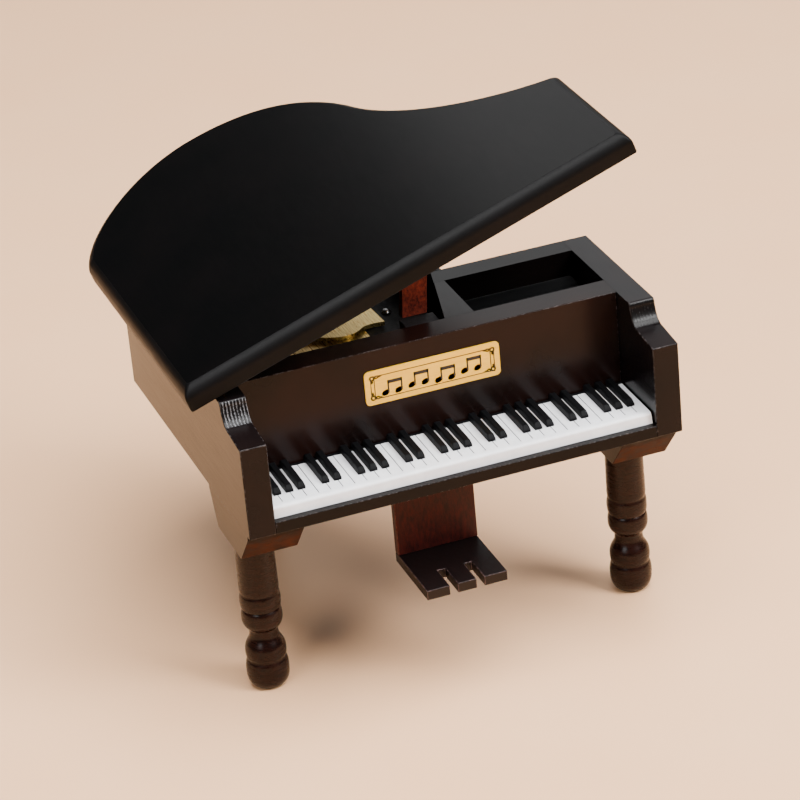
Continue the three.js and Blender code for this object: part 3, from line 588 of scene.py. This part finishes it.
def printed_frame(margin, line):
    """Four ink lines that make a frame at a margin from the plate's edge."""
    x0, x1 = plate_low.x + margin, plate_high.x - margin
    z0, z1 = plate_low.z + margin, plate_high.z - margin
    return [printed((x0, z0), (x1, z0 + line)), printed((x0, z1 - line), (x1, z1)),
            printed((x0, z0), (x0 + line, z1)), printed((x1 - line, z0), (x1, z1))]


def printed_disc(x, z, width, height, tilt=0.0, hole=0.0):
    """An ink oval, or a ring if it has a hole, turned by a tilt in degrees."""
    bm = bmesh.new()
    place = (Matrix.Translation((x, plate_low.y, z)) @ Matrix.Rotation(math.radians(tilt), 4, "Y")
             @ Matrix.Diagonal((width / 2, 1, height / 2, 1))
             @ Matrix.Rotation(math.radians(90), 4, "X"))
    made = bmesh.ops.create_circle(bm, cap_ends=hole == 0, radius=1, segments=20, matrix=place)
    if hole:
        rim = list(bm.edges)
        inner = bmesh.ops.extrude_edge_only(bm, edges=rim)
        moved = [g for g in inner["geom"] if isinstance(g, bmesh.types.BMVert)]
        bmesh.ops.scale(bm, verts=moved, vec=(hole, 1, hole),
                        space=Matrix.Translation((-x, -plate_low.y, -z)))
    bmesh.ops.solidify(bm, geom=bm.faces, thickness=INK)
    bmesh.ops.recalc_face_normals(bm, faces=bm.faces)
    return bm


def note(x, z, stem=4.3, beam=0.0):
    """A note: an oval head, a stem, and a thick beam to the next note if it has one."""
    parts = [printed_disc(x, z, 2.8, 2.0, tilt=-22),
             printed((x + 0.8, z), (x + 1.35, z + stem))]
    if beam:
        parts.append(printed((x + 0.8, z + stem - 1.2), (x + 1.35 + beam, z + stem)))
    return parts


plate_middle = (plate_low + plate_high) / 2
FRAME_MARGIN, FRAME_LINE = 1.9, 0.32
ornament = printed_frame(FRAME_MARGIN, FRAME_LINE)
INNER_LINE, SCROLL_X, SCROLL_Z = 20.2, 20.9, 3.5  # from the plate's middle
SCROLL = [(0, 0, 2.0, 0.4), (-1.6, 0.2, 1.4, 0.35), (-2.7, 0.3, 0.8, 0), (0.15, -1.4, 0.9, 0)]
for side_x in (-1, 1):
    line = plate_middle.x + side_x * INNER_LINE
    ornament.append(printed((line - FRAME_LINE / 2, plate_low.z + FRAME_MARGIN + 1),
                            (line + FRAME_LINE / 2, plate_high.z - FRAME_MARGIN - 1)))
    for side_z in (-1, 1):
        for out_x, out_z, width, hole in SCROLL:
            ornament.append(printed_disc(plate_middle.x + side_x * (SCROLL_X + out_x),
                                         plate_middle.z + side_z * (SCROLL_Z + out_z),
                                         width, width, hole=hole))
NOTE_PITCH = 4.6
NOTE_HEIGHTS = [-2.6, -2.6, -2.0, -2.0, -2.6, -2.6, -1.6, -1.6]
for i, lift in enumerate(NOTE_HEIGHTS):
    ornament += note(plate_middle.x - 16.6 + i * NOTE_PITCH, plate_middle.z + lift,
                     beam=NOTE_PITCH if i % 2 == 0 else 0.0)

plate_outline = rounded_outline((plate_low.x, plate_low.z), (plate_high.x, plate_high.z),
                                PLATE_CORNER)
plate = slab(plate_outline, Y_FROM_DRAWING, plate_low.y, plate_high.y)
round_edges(plate, 0.14, 2, edges=sharp_edges(plate, 60))
ink_count = len(ornament)
whole_plate = joined([plate] + ornament)
for face in whole_plate.faces:
    if face.calc_center_median().y < plate_low.y - 0.001:  # it stands proud, so it's ink
        face.material_index = 1
finished("nameplate", whole_plate, [plate_gold, plate_ink])
print("ink shapes on the plate:", ink_count)

# %% [markdown]
# ## White keys
# All thirty-two white keys are one moulded strip with a rounded lip along the front; the keys
# are only grooves in its top. We could stand thirty-two blocks side by side, but then the lip
# would be cut too. So the strip is one slab, sliced by planes, and each thin slice of its top
# is pushed down to a groove. Its floor and walls are a greyer white, as painted shade.

# %% White strip with sunk grooves
WHITE_KEYS = 32
white_low, white_high = maker_box("white_keys")
KEY_PITCH = (white_high.x - white_low.x) / WHITE_KEYS
GROOVE = {"width": 0.3, "depth": 0.7, "from_front": 3.0}
RAIL_FRONT, RAIL_DROP = 26.4, 1.2  # step at the back, for the rail of the black keys
key_lines = [white_low.x + i * KEY_PITCH for i in range(1, WHITE_KEYS)]


def white_outline():
    """The strip seen from the treble side: y, then height."""
    top, front = white_high.z, white_low.y
    points = [(white_high.y, white_low.z), (white_high.y, top - RAIL_DROP),
              (RAIL_FRONT, top - RAIL_DROP), (RAIL_FRONT, top), (front + 2.4, top)]
    points += curve((front + 2.4, top), (front + 1.2, top), (front + 0.6, top - 0.3),
                    (front + 0.45, top - 1.2), 8)
    return points + [(front, white_low.z)]


def white_strip():
    """One slab whose top is pushed down along each key line."""
    bm = slab(white_outline(), X_FROM_DRAWING, white_low.x, white_high.x)
    half = GROOVE["width"] / 2
    cuts = [((x + side, 0, 0), (1, 0, 0)) for x in key_lines for side in (-half, half)]
    cuts.append(((0, white_low.y + GROOVE["from_front"], 0), (0, 1, 0)))
    for spot, normal in cuts:
        bmesh.ops.bisect_plane(bm, geom=[*bm.verts, *bm.edges, *bm.faces],
                               plane_co=spot, plane_no=normal)
    floor = [f for f in bm.faces if f.normal.z > 0.9
             and f.calc_center_median().z > white_high.z - 0.1
             and f.calc_center_median().y > white_low.y + GROOVE["from_front"]
             and any(abs(f.calc_center_median().x - x) < half for x in key_lines)]
    sunk = bmesh.ops.extrude_face_region(bm, geom=floor)
    moved = [g for g in sunk["geom"] if isinstance(g, bmesh.types.BMVert)]
    bmesh.ops.translate(bm, verts=moved, vec=(0, 0, -GROOVE["depth"]))
    bmesh.ops.delete(bm, geom=floor, context="FACES_ONLY")
    bmesh.ops.recalc_face_normals(bm, faces=bm.faces)
    ends = [e for e in sharp_edges(bm, 60)
            if all(abs(v.co.x) > white_high.x - 0.01 and v.co.z > white_low.z + 0.1
                   for v in e.verts)]
    round_edges(bm, 0.15, 2, edges=ends)
    # the groove faces take the greyer material, which paints shade into the grooves
    for face in bm.faces:
        middle = face.calc_center_median()
        in_groove = any(abs(middle.x - x) < half + 0.01 for x in key_lines)
        if in_groove and middle.z < white_high.z - 0.2 and middle.y > white_low.y + 2.9:
            face.material_index = 1
    return bm


finished("white_keys", white_strip(), [white_abs, groove_shade_abs])

# %% [markdown]
# ## Black keys
# The black keys stand in groups of three and two. Each is a moulded wedge: its sides lean in
# to a narrower top and its front slopes. A cube with its top drawn in and its front pulled
# back gives that, and a bevel gives the soft, moulded edges.

# %% Black keys
black_low, black_high = maker_box("black_keys")
BLACK = {"length": 18.0, "width": 2.6, "top": 1.95, "slope": 1.1, "shoulder": 0.8}
BLACK_IN_OCTAVE, WHITES_PER_OCTAVE = (1, 2, 3, 5, 6), 7


def black_key(x):
    """One wedge-shaped key whose middle stands on a key line."""
    back, foot = black_high.y, white_high.z + 0.05
    bm = block((x - BLACK["width"] / 2, back - BLACK["length"], foot),
               (x + BLACK["width"] / 2, back, black_high.z))
    bmesh.ops.bisect_plane(bm, geom=[*bm.verts, *bm.edges, *bm.faces],
                           plane_co=(0, 0, foot + BLACK["shoulder"]), plane_no=(0, 0, 1))
    top = [v for v in bm.verts if v.co.z > black_high.z - 0.01]
    bmesh.ops.scale(bm, verts=top, vec=(BLACK["top"] / BLACK["width"], 1, 1),
                    space=Matrix.Translation((-x, 0, 0)))
    nose = [v for v in top if v.co.y < back - BLACK["length"] + 0.1]
    bmesh.ops.translate(bm, verts=nose, vec=(0, BLACK["slope"], 0))
    edges = [e for e in sharp_edges(bm, 15)
             if max(v.co.z for v in e.verts) > foot + 0.1
             and min(v.co.y for v in e.verts) < back - 0.1]
    return round_edges(bm, 0.16, 3, edges=edges)


black_x = [x for i, x in enumerate(key_lines, 1) if i % WHITES_PER_OCTAVE in BLACK_IN_OCTAVE]
rail = block((black_low.x, RAIL_FRONT + 0.1, black_low.z),
             (black_high.x, black_high.y, white_high.z + 0.05))
finished("black_keys", joined([black_key(x) for x in black_x] + [rail]), [black_abs])
print("black keys:", len(black_x))

# %% [markdown]
# ## Ring cushion
# The tray holds three velvet rolls side by side, with slits between them for rings. Each roll
# is foam in a velvet sleeve. Foam swells evenly, so cloth simulation with an inner pressure
# suits it. The solver expects furniture-sized things, so each roll is simulated at twenty
# times its size and scaled back.

# %% Velvet rolls
ROLLS = 3
SIMULATION_SCALE = 20
cushion_low, cushion_high = maker_box("ring_cushion")


def roll_start(index):
    """The block that a roll swells from, in the maker's frame."""
    depth = (cushion_high.y - cushion_low.y) / ROLLS
    front = cushion_low.y + index * depth
    bm = block((cushion_low.x + 0.7, front + 0.55, cushion_low.z + 0.5),
               (cushion_high.x - 0.7, front + depth - 0.55, cushion_high.z - 0.9))
    return round_edges(bm, 1.6, 4)


def swollen(bm, name):
    """The block as an object at the solver's scale, remeshed to even voxels."""
    scale = Matrix.Scale(SIMULATION_SCALE * MM, 4)
    bmesh.ops.transform(bm, matrix=scale, verts=bm.verts)
    mesh = bpy.data.meshes.new(name)
    bm.to_mesh(mesh)
    bm.free()
    pad = bpy.data.objects.new(name, mesh)
    scene.collection.objects.link(pad)
    remesh = pad.modifiers.new("voxels", "REMESH")
    remesh.mode, remesh.voxel_size = "VOXEL", 0.7 * MM * SIMULATION_SCALE
    depsgraph = bpy.context.evaluated_depsgraph_get()
    dense = bpy.data.meshes.new_from_object(pad.evaluated_get(depsgraph))
    pad.modifiers.clear()
    pad.data = dense
    return pad


def simulated(pad, frames=20, cap_mm=0.7):
    """Swells a pad by pressure, with each point's move capped, and returns it in the maker's mm."""
    rest = [v.co.copy() for v in pad.data.vertices]
    cloth = pad.modifiers.new("cloth", "CLOTH")
    cloth.settings.use_pressure = True
    cloth.settings.uniform_pressure_force = 4
    cloth.settings.effector_weights.gravity = 0
    for number in range(1, frames + 1):
        scene.frame_set(number)
    depsgraph = bpy.context.evaluated_depsgraph_get()
    grown = bpy.data.meshes.new_from_object(pad.evaluated_get(depsgraph))
    pad.modifiers.clear()
    pad.data = grown
    scene.frame_set(1)
    cap = cap_mm * MM * SIMULATION_SCALE
    for vertex, start in zip(pad.data.vertices, rest):
        move = vertex.co - start
        if move.length > cap:
            vertex.co = start + move.normalized() * cap
    bm = bmesh.new()
    bm.from_mesh(pad.data)
    bpy.data.objects.remove(pad)
    bmesh.ops.transform(bm, matrix=Matrix.Scale(1 / (SIMULATION_SCALE * MM), 4), verts=bm.verts)
    for vertex in bm.verts:
        vertex.co = Vector(min(max(c, low + 0.02), high - 0.02)
                           for c, low, high in zip(vertex.co, cushion_low, cushion_high))
    bmesh.ops.smooth_vert(bm, verts=bm.verts, factor=0.5,
                          use_axis_x=True, use_axis_y=True, use_axis_z=True)
    return bm


rolls = [simulated(swollen(roll_start(i), f"roll_{i}")) for i in range(ROLLS)]
cushion = finished("ring_cushion", joined(rolls), [velvet], crease=180)

# %% [markdown]
# ## Inside the bass compartment
# Under the lid lie a low gold soundboard and a raised gold plate cut like a harp, with a
# waved front edge. Both are thin metallised board, so an outline and a fine bevel are enough.

# %% Soundboard, harp plate and screw
plate_bottom, plate_top = maker_box("gold_plate")
HARP_SPANS = [
    [(-1.4, 84), (-3, 112), (-12, 146), (-30, 146)],
    [(-30, 146), (-46, 146), (-60, 132), (-60, 112)],
    [(-60, 80), (-54, 70), (-46, 78), (-38, 76)],
    [(-38, 76), (-30, 74), (-25, 69.8), (-20, 67.4)],
    [(-20, 67.4), (-15, 65.2), (-11.5, 67), (-9, 69.6)],
    [(-9, 69.6), (-7.7, 70.8), (-4.9, 71.0), (-0.8, 70.2)]]
harp = [(-0.8, 70.2), (-1.4, 84)]
for span in HARP_SPANS:
    if span[0] != harp[-1]:
        harp.append(span[0])
    harp += curve(*span, steps=12)
harp_plate = slab(harp[:-1], Z_FROM_DRAWING, plate_bottom.z, plate_top.z)
round_edges(harp_plate, 0.2, 2, edges=sharp_edges(harp_plate, 60))
finished("gold_plate", harp_plate, [gold_foil])
rounded_copy("soundboard", 0.1, gold_foil, segments=2)
rounded_copy("deck_screw", 0.12, plain_steel, segments=2)

# %% [markdown]
# ## Legs
# Each leg is turned on a lathe: a plain column, two rings, a neck, a ball and a rounded foot.
# On a real lathe a cutter follows a profile while the wood spins. The spin operator does the
# same with a wire profile, so the round forms come out as smooth as turned ones.

# %% Turned legs
LEG_STEPS = 64
LEG_TOP = maker_box("front_leg_left")[1].z


def swell(z_low, z_high, r_low, r_middle, r_high, steps=12):
    """A bead or a cove between two heights, from one radius through a middle one."""
    points = []
    for i in range(steps + 1):
        t = i / steps
        straight = r_low + (r_high - r_low) * t
        arch = math.sqrt(max(0.0, 1 - (2 * t - 1) ** 2))
        bulge = (r_middle - (r_low + r_high) / 2) * arch
        points.append((straight + bulge, z_low + (z_high - z_low) * t))
    return points


def leg_profile():
    """Radius and height from the sole up."""
    foot = [(0, 0), (3.6, 0)] + curve((3.6, 0), (5.6, 0.1), (6.9, 1.8), (7.15, 4.6), 10)
    foot += curve((7.15, 4.6), (7.3, 7.4), (7.2, 9.4), (6.4, 10.4), 8)
    ball = curve((6.4, 10.7), (6.8, 11.2), (6.95, 12.6), (6.85, 14.2), 8)
    ball += curve((6.85, 14.2), (6.7, 16.6), (5.0, 17.8), (4.85, 19.6), 12)
    neck = curve((4.85, 19.6), (4.8, 20.8), (4.9, 21.6), (5.3, 22.2), 6)
    ring = curve((5.3, 22.3), (6.2, 22.9), (6.8, 24.2), (6.85, 25.8), 10)
    ring += curve((6.85, 25.8), (6.9, 27.4), (6.7, 28.8), (6.2, 29.3), 6)
    upper = swell(29.5, 35.4, 6.3, 6.85, 6.3)
    column = curve((6.3, 35.6), (6.5, 35.9), (6.6, 36.4), (6.62, 37.4), 5)
    return foot + ball + neck + ring + upper + column + [(6.5, 47), (6.35, LEG_TOP), (0, LEG_TOP)]


def turned_leg(name):
    """The profile spun once round the leg's own axis."""
    low, high = maker_box(name)
    axis = (low + high) / 2
    bm = bmesh.new()
    verts = [bm.verts.new((axis.x + r, axis.y, z)) for r, z in leg_profile()]
    edges = [bm.edges.new(pair) for pair in zip(verts, verts[1:])]
    bmesh.ops.spin(bm, geom=verts + edges, cent=(axis.x, axis.y, 0), axis=(0, 0, 1),
                   angle=2 * math.pi, steps=LEG_STEPS, use_merge=True)
    bmesh.ops.remove_doubles(bm, verts=bm.verts, dist=0.001)
    bmesh.ops.recalc_face_normals(bm, faces=bm.faces)
    return finished(name, bm, [leg_stain], crease=50)


BLOCK_EDGE = 0.22


def leg_block(name):
    """A sawn block whose two sides are lacquered like the case."""
    bm = round_edges(packed_copy(name), BLOCK_EDGE)
    for face in bm.faces:
        if abs(face.normal.x) > 0.9:
            face.material_index = 1
    return finished(name, bm, [block_wood, case_lacquer])


for leg_name in ("front_leg_left", "front_leg_right", "rear_leg"):
    turned_leg(leg_name)
    leg_block(leg_name.replace("leg", "leg_block"))

# %% [markdown]
# ## Pedals
# A post under the keyboard carries a thin board with two saw cuts, which make three pedals of
# it. Both are stained, with the stain rubbed off along the edges, so a merged copy with a
# rounded edge shows that wear.

# %% Pedals and prop
rounded_copy("pedal_post", 0.3, pedal_stain)
rounded_copy("pedal_board", 0.3, tread_stain)
rounded_copy("prop", 0.3, prop_stain, body="prop")

# %% [markdown]
# ## Lid
# The lid is one board with the piano's wing outline. Its top edge is rounded over generously,
# its lower edge hardly at all. The cut fibres of the edge drink lacquer, so it dries duller
# than the polished top. We draw it closed, where its outline is plain, round its top edge
# with a bevel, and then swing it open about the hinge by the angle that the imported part
# states for its joint.

# %% Lid, drawn closed and swung open
hinge = next(j for j in frame["joints"] if j["name"] == "lid_hinge")
OPEN = math.radians(max(hinge["range_deg"])) if "range_deg" in hinge else max(hinge["range"])
hinge_spot = TO_MAKER @ Vector(hinge["pos_m"])
UNDERSIDE, LID_THICKNESS = 1.1, 8.2
LID_ROUND, ROUND_CUT = 4.6, 0.22  # planing takes the cut off the round, so a crease shows
MITRE_ROUND, UNDER_ROUND = 0.9, 0.4
LID_EDGE_SPANS = [
    [(81.4, 78), (58.5, 86.7), (32.7, 108), (24.5, 132.5)],
    [(24.5, 132.5), (16.8, 155.4), (0.6, 173.1), (-27.6, 173.1)],
    [(-27.6, 173.1), (-55.3, 173.1), (-80.4, 144.6), (-83.8, 128.3)]]


def lid_board():
    """The closed lid: its top edge rounded over, planed flat on top, then its mitres softened."""
    outline = [(-83.8, 18.5), (81.4, 18.5), (81.4, 78)]
    for span in LID_EDGE_SPANS:
        outline += curve(*span, steps=22)
    top = hinge_spot.z + UNDERSIDE + LID_THICKNESS
    bm = slab(outline, Z_FROM_DRAWING, top - LID_THICKNESS, top + ROUND_CUT)
    upper = [e for e in sharp_edges(bm, 60) if all(v.co.z > top for v in e.verts)]
    round_edges(bm, LID_ROUND, 12, edges=upper)
    planed = bmesh.ops.bisect_plane(bm, geom=[*bm.verts, *bm.edges, *bm.faces],
                                    plane_co=(0, 0, top), plane_no=(0, 0, 1), clear_outer=True)
    rim = [g for g in planed["geom_cut"] if isinstance(g, bmesh.types.BMEdge)]
    bmesh.ops.holes_fill(bm, edges=rim)
    mitres = [e for e in sharp_edges(bm, 24)
              if abs(e.verts[0].co.z - e.verts[1].co.z) > 0.05]
    round_edges(bm, MITRE_ROUND, 8, edges=mitres)
    under = [e for e in sharp_edges(bm, 60)
             if all(v.co.z < top - LID_THICKNESS + 0.01 for v in e.verts)]
    round_edges(bm, UNDER_ROUND, 2, edges=under)
    worn = bm.faces.layers.float["worn"]
    for face in bm.faces:
        face[worn] = 0.0
        face.material_index = 0 if abs(face.normal.z) > 0.999 else 1
    swing = (Matrix.Translation(hinge_spot) @ Matrix.Rotation(-OPEN, 4, "Y")
             @ Matrix.Translation(-hinge_spot))
    bmesh.ops.transform(bm, matrix=swing, verts=bm.verts)
    return bm


finished("lid", lid_board(), [lid_lacquer, lid_edge_lacquer], body="lid", crease=14)

# %% [markdown]
# ## Hinges and movement
# Hinges are stamped brass on steel pins. The movement is a zinc bedplate with a brass spring
# barrel, a pinned brass cylinder, a steel comb and a steel governor fan. These small parts
# are hidden most of the time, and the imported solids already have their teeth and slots, so a
# hairline bevel where the metal is broad enough, and the right metal, is what they need.

# %% Metal parts
METALS = {
    "lid_hinge_front_case_leaf": ("case", bright_brass),
    "lid_hinge_rear_case_leaf": ("case", bright_brass),
    "lid_hinge_front_lid_leaf": ("lid", bright_brass),
    "lid_hinge_rear_lid_leaf": ("lid", bright_brass),
    "lid_hinge_front_pin": ("case", plain_steel), "lid_hinge_rear_pin": ("case", plain_steel),
    "prop_hinge_lid_leaf": ("lid", bright_brass), "prop_hinge_pin": ("lid", plain_steel),
    "prop_hinge_prop_leaf": ("prop", bright_brass),
    "movement_bedplate": ("case", cast_zinc), "barrel_bridge": ("case", cast_zinc),
    "cylinder_bracket": ("case", cast_zinc), "governor_bracket": ("case", cast_zinc),
    "comb_block": ("case", cast_zinc), "comb": ("case", plain_steel),
    "movement_screw_1": ("case", plain_steel), "movement_screw_2": ("case", plain_steel),
    "movement_screw_3": ("case", plain_steel), "comb_screw_1": ("case", plain_steel),
    "comb_screw_2": ("case", plain_steel), "winding_arbor": ("winding", plain_steel),
    "winding_key": ("winding", bright_brass), "spring_barrel": ("barrel", bright_brass),
    "music_cylinder": ("cylinder", bright_brass), "cylinder_pinion": ("cylinder", plain_steel),
    "cylinder_gear": ("cylinder", bright_brass), "governor_fan": ("governor", plain_steel),
}
for metal_name, (metal_body, metal) in METALS.items():
    rounded_copy(metal_name, 0.04, metal, body=metal_body, segments=1, crease=35)

# %% [markdown]
# ## Floor, light and camera
# A plain pale table and soft studio light show the gloss without hiding the shapes. Black
# lacquer shows mostly what it reflects: a dim room behind keeps the lid's top deep black,
# a soft panel behind the treble side greys the case's top faces, and the pale table shows
# in the upright faces.

# %% Floor
floor_mesh = bpy.data.meshes.new("table_top")
floor_bm = bmesh.new()
bmesh.ops.create_grid(floor_bm, x_segments=1, y_segments=1, size=3)
floor_bm.to_mesh(floor_mesh)
floor_bm.free()
floor = bpy.data.objects.new("table_top", floor_mesh)
scene.collection.objects.link(floor)
floor_paint, floor_tree, floor_shader = new_finish("matt pale table laminate", "stage",
                                                   Roughness=0.55)
floor_tree.links.new(
    blended(floor_tree, noise(floor_tree, 60), linear("#f6bd8c"), linear("#f8c496")),
    floor_shader.inputs["Base Color"])
floor_mesh.materials.append(floor_paint)

# %% Lights
world = bpy.data.worlds.new("dim studio")
world.use_nodes = True
world.node_tree.nodes["Background"].inputs["Color"].default_value = linear("#e9ebf0")
world.node_tree.nodes["Background"].inputs["Strength"].default_value = 0.11
scene.world = world


def softbox(name, spot, aim, width, height, watts):
    """A soft rectangular light at a spot, in metres, that faces its aim."""
    lamp = bpy.data.lights.new(name, "AREA")
    lamp.shape, lamp.size, lamp.size_y, lamp.energy = "RECTANGLE", width, height, watts
    held = bpy.data.objects.new(name, lamp)
    scene.collection.objects.link(held)
    held.location = spot
    held.rotation_euler = (Vector(aim) - Vector(spot)).to_track_quat("-Z", "Y").to_euler()


CENTRE = (0, 0, 0.09)
softbox("overhead softbox", (0.1, -0.25, 1.5), CENTRE, 1.3, 1.3, 60)
softbox("key softbox", (0.75, -0.85, 1.0), CENTRE, 0.5, 0.5, 23)
softbox("fill softbox", (-0.95, -0.75, 0.8), CENTRE, 0.5, 0.5, 7)
softbox("top greying panel", (0.62, 1.25, 0.86), CENTRE, 1.25, 0.75, 4.4)

# %% [markdown]
# The camera stands in front and to the bass side, looking down by 27 degrees, with a long
# lens and a slight roll. Its place and directions are set as one matrix.

# %% Camera
CAMERA_MM = Vector((-332.82, -949.76, 618.46))
RIGHT = (0.93303, -0.35003, -0.08322)
UP = (0.22979, 0.40177, 0.88644)
BACK = (-0.27685, -0.84620, 0.45530)
lens = bpy.data.cameras.new("camera")
lens.lens, lens.sensor_width = 160.25, 36.0
lens.shift_x, lens.shift_y = 0.0040, 0.00135
lens.clip_start = 0.05
camera = bpy.data.objects.new("camera", lens)
scene.collection.objects.link(camera)
facing = Matrix((RIGHT, UP, BACK)).transposed().to_4x4()
camera.matrix_world = Matrix.Translation(TO_ROW @ CAMERA_MM) @ facing
scene.camera = camera
